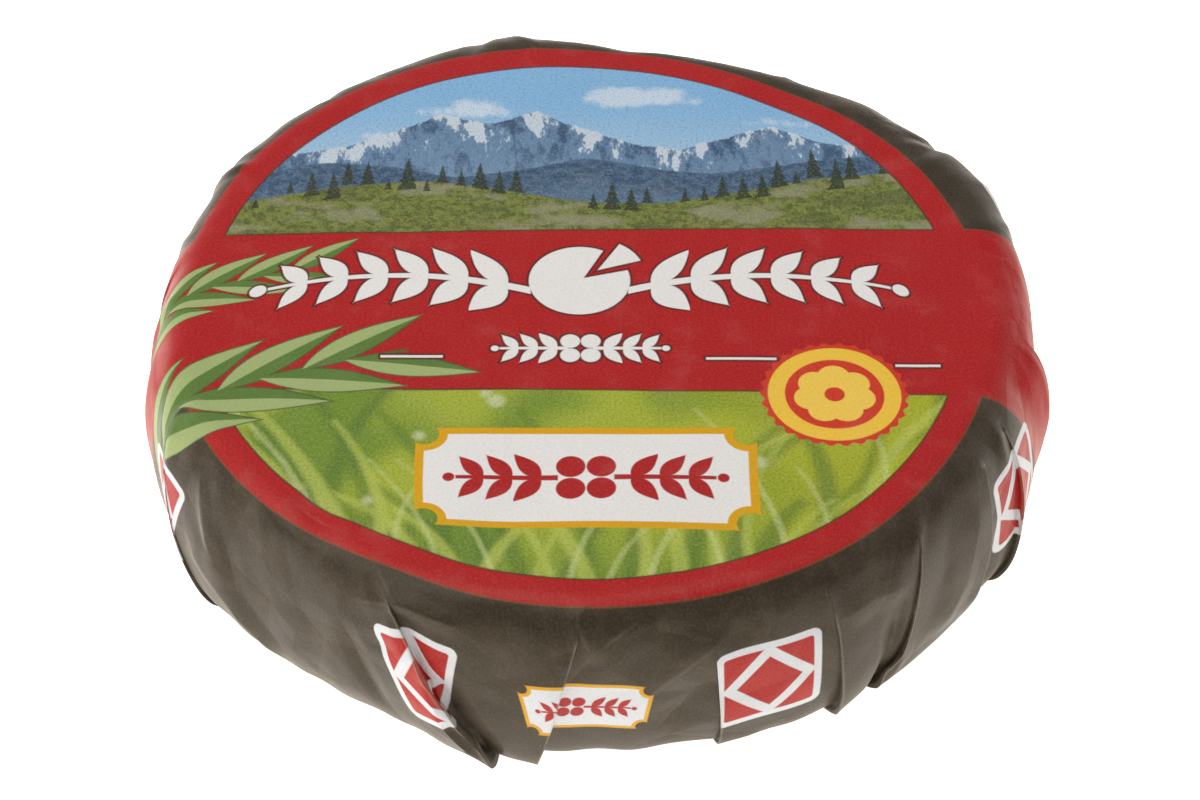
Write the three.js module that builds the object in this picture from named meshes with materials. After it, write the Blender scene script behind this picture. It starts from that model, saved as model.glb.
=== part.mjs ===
// A flat round cheese wrapped in one sheet of printed paper, in millimetres, +Z up.
// The paper lies smooth on the top, runs over the shoulder in folds that part it into
// nearly flat panels, and is pressed flat under the cheese. Cheese and paper are one solid.
// The origin is at the middle of the underside, on the surface that the cheese stands on.
// The front is at -Y. Angles are in degrees, counted from +X over +Y as seen from above.

import * as THREE from 'three';

// Driving dimensions of the plain wheel, without its folds
const height = 33;
const topRadius = 59.5;
const waistRadius = 67.7;
const waistHeight = 16;
const crown = 0.6;
const sideSquareness = 2.3;

// How the panels between the folds lie
const panelRoundness = 0.2;
const straightening = [0.05, 0.45];
const panelStep = 3.3;
const looseFoldGap = 1.1;
const tightFoldGap = 0.36;

// The underside, pressed flat with its folds raised off the floor
const undersideRelief = 0.9;
const flatCentreRadius = 9;

// Depth down the side: 0 at the edge of the flat top, 1 at the edge of the underside
const shoulderDepth = 0.2;
const waistDepth = 0.5;
const footDepth = 0.82;

// Which paper lies on top at a fold, as seen from outside
const leftOver = 1;
const rightOver = -1;

// The folds, counted round from the right. Each runs from its angle at the rim to its angle
// at the foot. Shoulder, waist and foot say how far it stands out from the plain wheel there,
// and the steps say how far the upper paper lifts off the lower at the waist and the foot.
const folds = [
  { rim: 11, foot: 10, out: [2.0, 1.6, 1.0], steps: [0.2, 0.3], over: leftOver },
  { rim: 25.4, foot: 28, out: [4.6, 3.6, 2.6], steps: [0.8, 1.4], over: rightOver },
  { rim: 46.4, foot: 49, out: [1.9, 1.8, 0.8], steps: [0.2, 0.3], over: rightOver },
  { rim: 67, foot: 70, out: [-0.9, -0.2, 0.3], steps: [0.7, 1.4], over: rightOver },
  { rim: 84, foot: 88, out: [-1.0, -0.3, -0.2], steps: [0.2, 0.3], over: leftOver },
  { rim: 102.7, foot: 105, out: [4.3, 3.0, 2.0], steps: [1.2, 1.6], over: leftOver },
  { rim: 121, foot: 125, out: [2.3, 1.4, 0.6], steps: [0.2, 0.3], over: rightOver },
  { rim: 145.5, foot: 148, out: [1.7, 1.3, 1.3], steps: [1.2, 1.2], over: leftOver },
  { rim: 157, foot: 160, out: [0.0, 0.2, 0.4], steps: [0.2, 0.3], over: rightOver },
  { rim: 170.5, foot: 173, out: [-0.9, -0.8, 0.1], steps: [0.7, 0.8], over: leftOver },
  { rim: 187, foot: 189, out: [-0.5, 0.3, 0.3], steps: [0.2, 0.3], over: leftOver },
  { rim: 200.8, foot: 211.5, out: [0.9, 1.0, 1.3], steps: [0.2, 0.5], over: leftOver },
  { rim: 209, foot: 226, out: [-0.4, 0.3, -0.6], steps: [0.0, 0.2], over: leftOver },
  { rim: 237, foot: 248, out: [-0.8, -0.6, 0.0], steps: [0.0, 0.3], over: leftOver },
  { rim: 244.5, foot: 258, out: [0.8, 0.9, 2.5], steps: [2.0, 2.4], over: leftOver },
  { rim: 269.5, foot: 263, out: [0.2, 0.2, 1.1], steps: [0.7, 2.0], over: leftOver },
  { rim: 285, foot: 287, out: [-1.0, -0.7, 0.2], steps: [0.1, 0.8], over: rightOver },
  { rim: 300.5, foot: 303, out: [0.6, 1.0, 1.9], steps: [0.3, 1.5], over: rightOver },
  { rim: 316, foot: 309.8, out: [0.6, 1.0, 1.2], steps: [0.4, 1.7], over: rightOver },
  { rim: 331, foot: 323.5, out: [0.8, 1.1, 1.6], steps: [0.8, 0.7], over: leftOver },
  { rim: 338, foot: 334.8, out: [0.6, 2.3, 2.9], steps: [0.8, 0.8], over: rightOver },
  { rim: 347, foot: 346, out: [0.2, 1.7, 1.6], steps: [0.2, 0.3], over: rightOver },
  { rim: 355, foot: 355.5, out: [0.9, 1.7, 1.5], steps: [1.7, 1.3], over: leftOver },
];

const radians = THREE.MathUtils.degToRad;
const mix = THREE.MathUtils.lerp;

// A value given at five depths down the side, joined by straight lines
function atDepth(depth, values) {
  const depths = [0, shoulderDepth, waistDepth, footDepth, 1];
  let i = 1;
  while (i < 4 && depth > depths[i]) i += 1;
  const share = THREE.MathUtils.clamp((depth - depths[i - 1]) / (depths[i] - depths[i - 1]), 0, 1);
  return mix(values[i - 1], values[i], share);
}

function foldAngle(fold, depth) {
  return mix(fold.rim, fold.foot, THREE.MathUtils.smoothstep(depth, 0.1, 0.9));
}

function foldStep(fold, depth) {
  const [waist, foot] = fold.steps;
  return atDepth(depth, [0, 0, waist, foot, 0.4 * foot]);
}

// How far one side of a fold stands out from the plain wheel
function foldReach(fold, depth, side) {
  const [shoulder, waist, foot] = fold.out;
  const middle = atDepth(depth, [0.5 * shoulder, shoulder, waist, foot, 0.5 * foot]);
  return middle + side * fold.over * foldStep(fold, depth) / 2;
}

// Half the angle left open between the two papers of a fold, in degrees
function foldHalfGap(fold, depth) {
  const share = THREE.MathUtils.clamp(foldStep(fold, depth), 0, 1);
  return mix(looseFoldGap, tightFoldGap, share) / 2;
}

// Radius and height of the plain wheel at a depth down its side
function plainSide(depth) {
  const turn = Math.PI * depth;
  const bulge = Math.sin(turn) ** (2 / sideSquareness);
  const rise = Math.sign(Math.cos(turn)) * Math.abs(Math.cos(turn)) ** (2 / sideSquareness);
  const half = rise > 0 ? height - crown - waistHeight : waistHeight;
  return { radius: mix(topRadius, waistRadius, bulge), height: waistHeight + half * rise };
}

// The levels of the surface, from the middle of the underside to the middle of the top.
// Inward is how far a level on a flat end reaches towards its edge, from 0 to 1.
function surfaceLevels() {
  const levels = [];
  for (const inward of [0, flatCentreRadius / topRadius, 0.4, 0.65, 0.85, 0.95]) {
    levels.push({ inward, depth: 1, radius: inward * topRadius, height: 0 });
  }
  const sideDepths = [1, 0.94, 0.88, 0.82, 0.75, 0.68, 0.6, 0.52, 0.45, 0.38, 0.31, 0.24, 0.18, 0.12, 0.06, 0];
  for (const depth of sideDepths) {
    levels.push({ inward: 1, depth, ...plainSide(depth) });
  }
  for (const inward of [0.94, 0.8, 0.5, 0]) {
    const heightHere = height - crown * inward ** 2;
    levels.push({ inward, depth: 0, radius: inward * topRadius, height: heightHere });
  }
  return levels;
}

// One column of the surface for each line down the side: both sides of every fold, and
// evenly spaced lines across the panel that follows it
function surfaceColumns() {
  const columns = [];
  folds.forEach((fold, i) => {
    const next = folds[(i + 1) % folds.length];
    const turn = next.rim > fold.rim ? 0 : 360;
    const steps = Math.max(2, Math.round((next.rim + turn - fold.rim) / panelStep));
    for (let k = 0; k <= steps; k += 1) {
      columns.push({ fold, next, turn, share: k / steps });
    }
  });
  return columns;
}

// The place of one column at one level
function surfacePoint(column, level) {
  const { fold, next, turn, share } = column;
  const start = radians(foldAngle(fold, level.depth) + foldHalfGap(fold, level.depth));
  const end = radians(foldAngle(next, level.depth) + turn - foldHalfGap(next, level.depth));
  const fade = level.inward ** 4;
  const startRadius = level.radius + fade * foldReach(fold, level.depth, -1);
  const endRadius = level.radius + fade * foldReach(next, level.depth, 1);
  const angle = mix(start, end, share);

  // Across a panel the paper is nearly straight, but still rests on the round cheese
  const round = mix(startRadius, endRadius, share);
  const chord = Math.sin(end - start) * startRadius * endRadius
    / (Math.sin(angle - start) * startRadius + Math.sin(end - angle) * endRadius || 1);
  const straightness = (1 - panelRoundness) * THREE.MathUtils.smoothstep(level.depth, ...straightening);
  const radius = mix(round, chord, straightness);

  // Under the cheese the lower paper of each fold is pressed up into it
  const startLift = fold.over === leftOver ? 1 : 0;
  const endLift = next.over === rightOver ? 1 : 0;
  const pressed = THREE.MathUtils.smoothstep(level.depth, footDepth, 1);
  const open = THREE.MathUtils.smoothstep(level.radius, flatCentreRadius, 3 * flatCentreRadius);
  const lift = undersideRelief * pressed * open * mix(startLift, endLift, share);
  return new THREE.Vector3(radius * Math.cos(angle), radius * Math.sin(angle), level.height + lift);
}

// The wrapped wheel: a lathed body whose lines are moved to the folds and panels
function wrappedWheel() {
  const levels = surfaceLevels();
  const columns = surfaceColumns();
  const profile = levels.map((level) => new THREE.Vector2(level.radius, level.height));
  const geometry = new THREE.LatheGeometry(profile, columns.length);
  const places = geometry.attributes.position;
  for (let i = 0; i <= columns.length; i += 1) {
    levels.forEach((level, j) => {
      const point = surfacePoint(columns[i % columns.length], level);
      places.setXYZ(i * levels.length + j, point.x, point.y, point.z);
    });
  }
  geometry.computeBoundingBox();
  const middle = geometry.boundingBox.getCenter(new THREE.Vector3());
  geometry.translate(-middle.x, -middle.y, 0);
  geometry.computeVertexNormals();
  return geometry;
}

const printedPaper = new THREE.MeshStandardMaterial({ color: 0x4a4238, roughness: 0.55, metalness: 0 });

const cheese = new THREE.Mesh(wrappedWheel(), printedPaper);
cheese.name = 'wrapped_cheese';

const object = new THREE.Group();
object.add(cheese);

export default object;
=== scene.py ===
"""Looks of a flat round soft cheese, wrapped whole in one sheet of printed paper.

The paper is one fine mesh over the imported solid. It has the same wheel and the same folds,
with real laps where one panel lies over the next, and creases and soft waves on the panels.
Every point of the mesh also knows where it lies on the flat sheet, so the print runs over
the shoulder and disappears into the folds as on the real paper. Each ink is a field of
signed distances in millimetres on that sheet, positive inside, which the material cuts.

Lengths are in millimetres and angles in degrees until a mesh is made, which is in metres.
"""

import math
from collections import namedtuple
from functools import partial, partialmethod

import bpy
import numpy as np
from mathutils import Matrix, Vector


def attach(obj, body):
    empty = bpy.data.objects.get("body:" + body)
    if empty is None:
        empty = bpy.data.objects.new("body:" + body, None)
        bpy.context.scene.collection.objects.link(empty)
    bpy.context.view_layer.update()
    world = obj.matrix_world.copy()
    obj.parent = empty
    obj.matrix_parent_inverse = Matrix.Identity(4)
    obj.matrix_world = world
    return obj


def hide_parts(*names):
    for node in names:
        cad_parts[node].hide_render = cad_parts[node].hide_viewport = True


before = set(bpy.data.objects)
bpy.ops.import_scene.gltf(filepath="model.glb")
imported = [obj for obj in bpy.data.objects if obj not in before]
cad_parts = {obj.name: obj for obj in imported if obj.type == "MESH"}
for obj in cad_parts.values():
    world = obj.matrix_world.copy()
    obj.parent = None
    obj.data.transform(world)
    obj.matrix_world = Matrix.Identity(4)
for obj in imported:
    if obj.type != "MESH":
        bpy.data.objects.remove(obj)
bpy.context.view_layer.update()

MM = 0.001

# The plain wheel, as in the solid
HEIGHT = 33
TOP_RADIUS = 59.5
WAIST_RADIUS = 67.7
WAIST_HEIGHT = 16
CROWN = 0.6
SIDE_SQUARENESS = 2.3
SIDE_ARC = 39.5

# How the panels between the folds lie, as in the solid
PANEL_ROUNDNESS = 0.2
STRAIGHTENING = (0.05, 0.45)
UNDERSIDE_RELIEF = 0.9
FLAT_CENTRE_RADIUS = 9
SHOULDER_DEPTH = 0.2
WAIST_DEPTH = 0.5
FOOT_DEPTH = 0.82
DEPTHS = (0, SHOULDER_DEPTH, WAIST_DEPTH, FOOT_DEPTH, 1)

# The fine mesh. Towards the middle of a flat end only one column in so many is kept, as
# (share of the radius up to which it holds, stride).
POINT_SPACING = 0.66
UNDERSIDE_SPACING = 1.6
COLUMN_RADIUS = 68
COARSEST_STRIDE = 8
TOP_STRIDES = ((0.14, COARSEST_STRIDE), (0.28, 4), (0.55, 2))
UNDERSIDE_STRIDES = ((0.3, COARSEST_STRIDE), (0.6, 4), (1, 2))
FOLD_SHARES = (0.05, 0.5, 0.95)
SHARP_ANGLE = 50
SEED = 11

# The paper at the folds. Two papers run past each other by more, the higher the step, and
# leave a gap where it is low. Beside a fold the lower paper dips into the pocket and the
# upper one curls up. Its edge, where it stands off the lower one, is painted lighter: partly
# worn paper and partly a painted highlight.
PAPER_THICKNESS = 0.3
FULL_THICKNESS_STEP = 0.7
LAP_PER_STEP = 0.8
LAP_START_STEP = 0.4
WIDEST_LAP = 1.8
WIDEST_GAP = 0.25
POCKET_DIP = 0.35
LAP_CURL = 0.12
BEND_SPREAD = 3.5
WORN_AND_SHINING_STEPS = (0.03, 0.2)
SOFT_FOLD_STEP = 0.35
SOFT_FOLD_SPREAD = 7

# Heights of the waves and facets of handled paper
DRAPES = 0.16
LARGE_FACETS = 0.2
SMALL_FACETS = 0.07
TOP_RIPPLES = 0.035

# Which paper lies on top at a fold, as seen from outside
LEFT = 1
RIGHT = -1

# Each fold runs from its angle at the rim to its angle at the foot. Out says how far it
# stands out from the plain wheel at shoulder, waist and foot, and steps how far the upper
# paper lifts off the lower at the waist and the foot.
Fold = namedtuple("Fold", "rim foot out steps over")
FOLDS = [
    Fold(11, 10, (2, 1.6, 1), (0.2, 0.3), LEFT),
    Fold(25.4, 28, (4.6, 3.6, 2.6), (0.8, 1.4), RIGHT),
    Fold(46.4, 49, (1.9, 1.8, 0.8), (0.2, 0.3), RIGHT),
    Fold(67, 70, (-0.9, -0.2, 0.3), (0.7, 1.4), RIGHT),
    Fold(84, 88, (-1, -0.3, -0.2), (0.2, 0.3), LEFT),
    Fold(102.7, 105, (4.3, 3, 2), (1.2, 1.6), LEFT),
    Fold(121, 125, (2.3, 1.4, 0.6), (0.2, 0.3), RIGHT),
    Fold(145.5, 148, (1.7, 1.3, 1.3), (1.2, 1.2), LEFT),
    Fold(157, 160, (0, 0.2, 0.4), (0.2, 0.3), RIGHT),
    Fold(170.5, 173, (-0.9, -0.8, 0.1), (0.7, 0.8), LEFT),
    Fold(187, 189, (-0.5, 0.3, 0.3), (0.2, 0.3), LEFT),
    Fold(200.8, 211.5, (0.9, 1, 1.3), (0.2, 0.5), LEFT),
    Fold(209, 226, (-0.4, 0.3, -0.6), (0, 0.2), LEFT),
    Fold(237, 248, (-0.8, -0.6, 0), (0, 0.3), LEFT),
    Fold(244.5, 258, (0.8, 0.9, 2.5), (2, 2.4), LEFT),
    Fold(269.5, 263, (0.2, 0.2, 1.1), (0.7, 2), LEFT),
    Fold(285, 287, (-1, -0.7, 0.2), (0.1, 0.8), RIGHT),
    Fold(300.5, 303, (0.6, 1, 1.9), (0.3, 1.5), RIGHT),
    Fold(316, 309.8, (0.6, 1, 1.2), (0.4, 1.7), RIGHT),
    Fold(331, 323.5, (0.8, 1.1, 1.6), (0.8, 0.7), LEFT),
    Fold(338, 334.8, (0.6, 2.3, 2.9), (0.8, 0.8), RIGHT),
    Fold(347, 346, (0.2, 1.7, 1.6), (0.2, 0.3), RIGHT),
    Fold(355, 355.5, (0.9, 1.7, 1.5), (1.7, 1.3), LEFT),
]

# Creases pressed into the panels: the angle and the depth down the side of each of their two
# ends, the height of the ridge, negative for a groove, and its spread to the left and right
CREASES = (
    (226, 0.015, 232.5, 0.015, -0.9, 7, 6),
    (242.6, 0.12, 246, 0.21, 0.6, 2, 1.6),
    (240.3, 0.28, 246, 0.21, 0.45, 2.2, 2.2),
    (246, 0.215, 253.5, 0.255, 0.9, 2.2, 3),
    (246.8, 0.27, 249, 0.4, -1, 1.8, 3.5),
    (251.6, 0.5, 257, 0.76, -1.3, 0.4, 4),
    (239.1, 0.42, 243.5, 0.62, -0.6, 2.5, 2),
    (242.5, 0.42, 246, 0.39, -0.4, 1.5, 1.5),
    (269.4, 0.1, 268.5, 0.17, 0.3, 2.2, 2.2),
    (268.5, 0.17, 270.3, 0.31, 0.45, 2.2, 2.4),
    (276, 0.2, 270.7, 0.31, 0.45, 3, 5),
    (270.3, 0.33, 267, 0.44, -0.4, 2, 3),
    (286.4, 0.33, 276.5, 0.5, 0.75, 5, 4),
    (282.5, 0.5, 279, 0.6, -0.6, 4, 4),
    (300.9, 0.2, 300.7, 0.34, 0.3, 1.4, 1.4),
    (312, 0.38, 306.4, 0.355, 0.6, 3.5, 2.5),
    (306.4, 0.355, 302.2, 0.37, 0.5, 3, 2.5),
    (317.6, 0.15, 314.2, 0.28, 0.4, 1.5, 1.5),
    (311.3, 0.45, 310, 0.76, -1.2, 3.6, 1),
    (326.5, 0.34, 323.2, 0.51, 0.9, 6.5, 5),
    (323.2, 0.51, 318.5, 0.62, 0.8, 5, 6),
    (329, 0.45, 324.5, 0.68, 0.55, 4.5, 5),
    (331.5, 0.5, 329.5, 0.72, -1, 3, 3),
    (337, 0.14, 334.5, 0.34, 0.5, 2.5, 2.5),
    (352.5, 0.18, 352.8, 0.5, 0.4, 2, 2),
    (200.8, 0.02, 201.6, 0.14, 0.5, 2, 2),
    (201.6, 0.14, 204.3, 0.36, 0.6, 2, 2.5),
    (211, 0.27, 216.4, 0.47, 0.45, 1.6, 2.2),
    (217.6, 0.38, 220.5, 0.5, -0.35, 2, 2.2),
    (211, 0.5, 219.4, 0.58, 0.8, 2.5, 3.5),
    (219.4, 0.58, 226, 0.72, 0.8, 2.5, 3.5),
    (98.5, 0.02, 101.5, 0.25, 0.5, 2.5, 2),
    (107.5, 0.03, 104, 0.25, -0.45, 2, 2.5),
    (33, 0.02, 36, 0.3, -0.45, 2, 3),
    (38, 0.05, 34, 0.25, -0.4, 2, 2),
    (149, 0.05, 152, 0.35, 0.45, 2, 2),
    (60, 0.12, 63, 0.5, 0.4, 3, 2),
    (77, 0.15, 74, 0.55, -0.4, 2.5, 2.5),
    (92, 0.2, 95, 0.6, 0.5, 3.5, 3),
    (113, 0.3, 110, 0.7, 0.5, 3, 3.5),
    (129, 0.12, 133, 0.5, -0.35, 3, 2.5),
    (164, 0.2, 161, 0.6, 0.45, 3, 2.5),
    (178, 0.1, 181, 0.5, 0.4, 2.5, 2.5),
    (17, 0.15, 19, 0.6, 0.4, 2.5, 2.5),
    (40, 0.35, 37, 0.75, 0.5, 3, 3),
)

# The print is centred here on the wheel. X is to the right, Y away from the camera.
# The band's edges are each a height at the middle and a slope.
PRINT_CENTRE = (-0.8, -1.0)
RING_RADIUS = 61.8
RING_INNER_RADIUS = 57.2
BAND_TOP = (16.6, 0.013)
BAND_BOTTOM = (-19.1, -0.012)
SEAL_CENTRE = (36.9, -19.8)
SEAL_RADIUS = 10.7
SEAL_TEETH = 30
WHEEL_RADIUS = 7.3
PLAQUE_CENTRE = (0.5, -37.2)
PLAQUE_HALF_SIZE = (23.4, 8.8)
PLAQUE_BORDER = 1.3
PLAQUE_CORNER = 3.4
PATCH_RADIUS = 78.4
PATCH_COUNT = 8
PATCH_TURN = 23.4
PATCH_HALF_SIZE = (8.0, 7.6)
PATCH_BORDER = 1.2
SMALL_PLAQUE_RADIUS = 79
SMALL_PLAQUE_SCALE = 0.46
LEAF_PITCH = 5.8
LEAF_SHRINK = 0.06
RULES = (((-25.4, -11.8), 4.6), ((23.4, -12.4), 5.2), ((49.6, -13.5), 3.4))
RULE_HALF_WIDTH = 0.26
SPRIG = ((-74, -29.5), (-48, -16.5), (-11, -7.5))
TWIG = ((-68, -4), (-60, 2), (-48, 6.5))
TWIG_SCALE = 0.62
SPRIG_LIMIT = (19, 0.45)
CLOUDS = (((-19, 44.5), 15), ((9, 48.2), 20), ((31, 43.0), 10), ((-35, 38.5), 8))
SHEET_SPAN = 400
INK_SOFTNESS = 0.13
PICTURE_SOFTNESS = 0.2

# Distances that take a point of the sheet out of a shape, or far from a crease
NOWHERE = 99.0
FAR_ASIDE = 9.0

# How far the print lies outwards of a true circle at the rim, as (angle, distance), evened
# out over a window of angles. It starts on the flat top and goes on growing past the ring.
SLIDES = (
    (0, -0.3), (18, -0.9), (36, -0.4), (50, -1.1), (63, -1.9), (72, -1.1), (84, -0.4), (96, 0.0),
    (108, 1.1), (126, 1.05), (140, 0.75), (156, 0.2), (180, 0.0), (205, -0.1), (226, -0.4),
    (241, -1.6), (252, -0.6), (264, -0.1), (285, 0.1), (303, 0.75), (318, 0.4), (340, -0.2),
)
SLIDE_WINDOW = (-6, -3, 0, 3, 6)
SLIDE_START = 44
SLIDE_GROWTH = 0.5
SLIDE_BELOW_RING = (2, 9)

# Heights of the hill lines, evenly spaced from the left end of the picture to the right one
PICTURE_END = 60
MEADOW = (22.5, 24.5, 27.5, 28.5, 26.0, 23.0, 22.8, 25.5, 29.0, 31.0, 31.5)
NEAR_HILLS = (27, 30, 33, 32, 29, 31, 34, 31.5, 30, 32, 34.5, 35, 33)
FAR_PEAKS = (30, 33, 35, 36.5, 40, 44.5, 42.5, 45.5, 41, 37.5, 36, 39.5, 42.5, 38.5, 37, 34, 33)

# White ink, the red of the seal, and the lighter paper along creases and lap edges, partly worn and partly
# a painted highlight, as seen
WHITE_INK = (238, 235, 231)
SEAL_RED = (210, 56, 34)
WORN_AND_LIT_PAPER = (170, 156, 138)

# Gloss of the satin paper. The red band is duller where it runs over the rim.
GLOSS = 0.3
BAND_RIM_GLOSS = 0.04
SHEEN = 0.26
WARM_SHINE = (1.0, 0.87, 0.69, 1.0)

# The floor is a lit table, as under the photographed cheese
FLOOR_HALF_SIZE = 4.0
FLOOR_GLOW = 1.22
FLOOR_TINT = (1.0, 0.955, 0.88, 1.0)

# The soft lights, in metres and watts: name, place, size and power
LIGHTS = (
    ("overhead", (-0.15, 0.0, 1.2), (1.0, 1.0), 8.9),
    ("left_softbox", (-0.9, -0.2, 0.9), (0.7, 0.7), 6.5),
    ("right_softbox", (0.9, 0.45, 0.5), (0.7, 0.7), 1.8),
    ("backdrop", (-0.2, 1.4, 0.5), (2.4, 1.0), 3.8),
)

# The photograph's camera, from the wheel's middle
CAMERA_ELEVATION = 43.5
CAMERA_DISTANCE = 560
CAMERA_LENS = 114.9
CAMERA_TARGET = (1.7, -22.4, 33)


# The wheel and its folds

def smoothstep(x, low, high):
    t = np.clip((x - low) / (high - low), 0, 1)
    return t * t * (3 - 2 * t)


def mix(a, b, share):
    return a + (b - a) * share


def place_at(radius, angle):
    return radius * np.cos(np.radians(angle)), radius * np.sin(np.radians(angle))


def waist_distance(angle, place):
    """How far round the waist an angle lies from a place, the short way."""
    return ((angle - place + 180) % 360 - 180) * np.pi / 180 * WAIST_RADIUS


def fold_angle(fold, depth):
    return mix(fold.rim, fold.foot, smoothstep(depth, 0.1, 0.9))


def fold_step(fold, depth):
    waist, foot = fold.steps
    return np.interp(depth, DEPTHS, (0, 0, waist, foot, 0.4 * foot))


def fold_reach(fold, depth, side):
    """How far one side of a fold stands out from the plain wheel."""
    shoulder, waist, foot = fold.out
    middle = np.interp(depth, DEPTHS, (0.5 * shoulder, shoulder, waist, foot, 0.5 * foot))
    return middle + side * fold.over * fold_step(fold, depth) / 2


def is_soft(fold):
    """Whether a fold is only a bend, where no paper is laid over."""
    return max(fold.steps) < SOFT_FOLD_STEP


def fold_lap(fold, depth):
    """How far the two papers of a fold run past each other, negative where a gap is left."""
    lap = LAP_PER_STEP * (fold_step(fold, depth) - LAP_START_STEP)
    return np.clip(lap, -WIDEST_GAP, WIDEST_LAP)


def plain_side(depth):
    """Radius and height of the plain wheel at a depth down its side."""
    turn = np.pi * depth
    bulge = np.abs(np.sin(turn)) ** (2 / SIDE_SQUARENESS)
    rise = np.sign(np.cos(turn)) * np.abs(np.cos(turn)) ** (2 / SIDE_SQUARENESS)
    half = np.where(rise > 0, HEIGHT - CROWN - WAIST_HEIGHT, WAIST_HEIGHT)
    return mix(TOP_RADIUS, WAIST_RADIUS, bulge), WAIST_HEIGHT + half * rise


def even_depths():
    """Depths down the side that lie evenly along its arc."""
    fine = np.linspace(0, 1, 2001)
    radius, height = plain_side(fine)
    arc = np.concatenate([[0], np.cumsum(np.hypot(np.diff(radius), np.diff(height)))])
    count = int(round(arc[-1] / POINT_SPACING))
    return np.interp(np.linspace(0, arc[-1], count + 1), arc, fine)


def flat_levels(spacing, strides):
    """The levels of a flat end: how far each reaches along it, and its column stride."""
    steps = int(round(TOP_RADIUS / spacing))
    shares = [i / steps for i in range(1, steps)]
    return [(share, next((stride for limit, stride in strides if share < limit), 1)) for share in shares]


def surface_levels():
    """The levels from the middle of the top to the middle of the underside. Each has how far
    it reaches along a flat end, its depth, radius, height and column stride."""
    levels = [(share, 0, share * TOP_RADIUS, HEIGHT - CROWN * share ** 2, stride)
              for share, stride in flat_levels(POINT_SPACING, TOP_STRIDES)]
    levels += [(1, depth, *plain_side(depth), 1) for depth in even_depths()]
    levels += [(share, 1, share * TOP_RADIUS, 0, stride)
               for share, stride in reversed(flat_levels(UNDERSIDE_SPACING, UNDERSIDE_STRIDES))]
    *places, stride = np.array(levels, float).T
    return *places, stride.astype(int)


def panel_columns():
    """For each panel, how far each of its columns lies across it. The total number of
    columns, with those in the folds, is a multiple of the coarsest stride."""
    shares = []
    total = 0
    for i, fold in enumerate(FOLDS):
        following = FOLDS[(i + 1) % len(FOLDS)]
        width = (following.rim - fold.rim) % 360 * math.pi / 180 * COLUMN_RADIUS
        count = max(4, int(round(width / POINT_SPACING))) + 1
        if i == len(FOLDS) - 1:
            count += -(total + count + len(FOLD_SHARES)) % COARSEST_STRIDE
        shares.append(np.linspace(0, 1, count))
        total += count + len(FOLD_SHARES)
    return shares


def panel_surface(fold, following, share, levels):
    """Radius, angle, underside lift and lighter edge (worn paper and painted highlight) of one panel, at
    each level and column.
    """
    inward, depth, radius, _, _ = (a[:, None] for a in levels)
    turn = 0 if following.rim > fold.rim else 360
    side_radius = np.maximum(radius, 1)
    spread = np.degrees(0.5 * inward / side_radius)
    start = fold_angle(fold, depth) - fold_lap(fold, depth) * spread
    end = fold_angle(following, depth) + turn + fold_lap(following, depth) * spread
    fade = inward ** 4
    start_radius = radius + fade * fold_reach(fold, depth, -1)
    end_radius = radius + fade * fold_reach(following, depth, 1)

    # Across a panel the paper is nearly straight, but still rests on the round cheese
    angle = mix(start, end, share)
    rounded = mix(start_radius, end_radius, share)
    across = np.radians(end - start)
    chord = np.sin(across) * start_radius * end_radius / (
        np.sin(across * share) * start_radius + np.sin(across * (1 - share)) * end_radius)
    straightness = (1 - PANEL_ROUNDNESS) * smoothstep(depth, *STRAIGHTENING)
    reach = mix(rounded, chord, straightness)

    # Beside each of its two folds the panel is the upper or the lower paper
    worn_and_shining_edge = np.zeros_like(reach)
    for near_fold, side, apart in ((fold, RIGHT, share), (following, LEFT, 1 - share)):
        gap = apart * across * side_radius
        step = fade * fold_step(near_fold, depth)
        on_top = near_fold.over == side
        reach = reach + (LAP_CURL if on_top else -POCKET_DIP) * step * np.exp(-gap / BEND_SPREAD)
        # The upper paper's edge is painted lighter where it stands off: partly worn paper, partly a
        # painted highlight.
        if on_top:
            worn_and_shining_edge += smoothstep(step, *WORN_AND_SHINING_STEPS) * np.clip(1 - gap / POINT_SPACING, 0, 1)

    # Under the cheese the lower paper of each fold is pressed up into it
    start_lift = 1 if fold.over == LEFT else 0
    end_lift = 1 if following.over == RIGHT else 0
    pressed = smoothstep(depth, FOOT_DEPTH, 1)
    unpressed = smoothstep(radius, FLAT_CENTRE_RADIUS, 3 * FLAT_CENTRE_RADIUS)
    lift = UNDERSIDE_RELIEF * pressed * unpressed * mix(start_lift, end_lift, share)
    return reach, angle, lift, worn_and_shining_edge


def fold_strip(left, right, over):
    """The hidden paper in a fold: three columns from the last one of the panel on the left
    to the first one of the panel on the right."""
    thickness = PAPER_THICKNESS * np.clip(np.abs(left[0] - right[0]) / FULL_THICKNESS_STEP, 0, 1)
    columns = []
    for share in FOLD_SHARES:
        tuck = over * np.sign(share - 0.5) * thickness
        rest = [mix(a, b, share) for a, b in zip(left[1:], right[1:])]
        columns.append([mix(left[0], right[0], share) + tuck, *rest])
    return [np.stack(parts, axis=1) for parts in zip(*columns)]


def wheel_surface(levels):
    """All columns of the wheel: radius, angle, underside lift and lighter edge, partly worn paper and
    partly a painted highlight.
    """
    following_folds = FOLDS[1:] + FOLDS[:1]
    panels = [panel_surface(fold, following, share[None, :], levels)
              for fold, following, share in zip(FOLDS, following_folds, panel_columns())]
    parts = []
    for i, (panel, following) in enumerate(zip(panels, following_folds)):
        left = [a[:, -1] for a in panel]
        right = [a[:, 0] for a in panels[(i + 1) % len(panels)]]
        if i == len(panels) - 1:
            right[1] = right[1] + 360
        parts += [panel, fold_strip(left, right, following.over)]
    reach, angle, lift, worn_and_shining_edge = (np.concatenate(arrays, axis=1) for arrays in zip(*parts))
    return round_soft_folds(reach, angle, levels), angle, lift, worn_and_shining_edge


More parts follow.
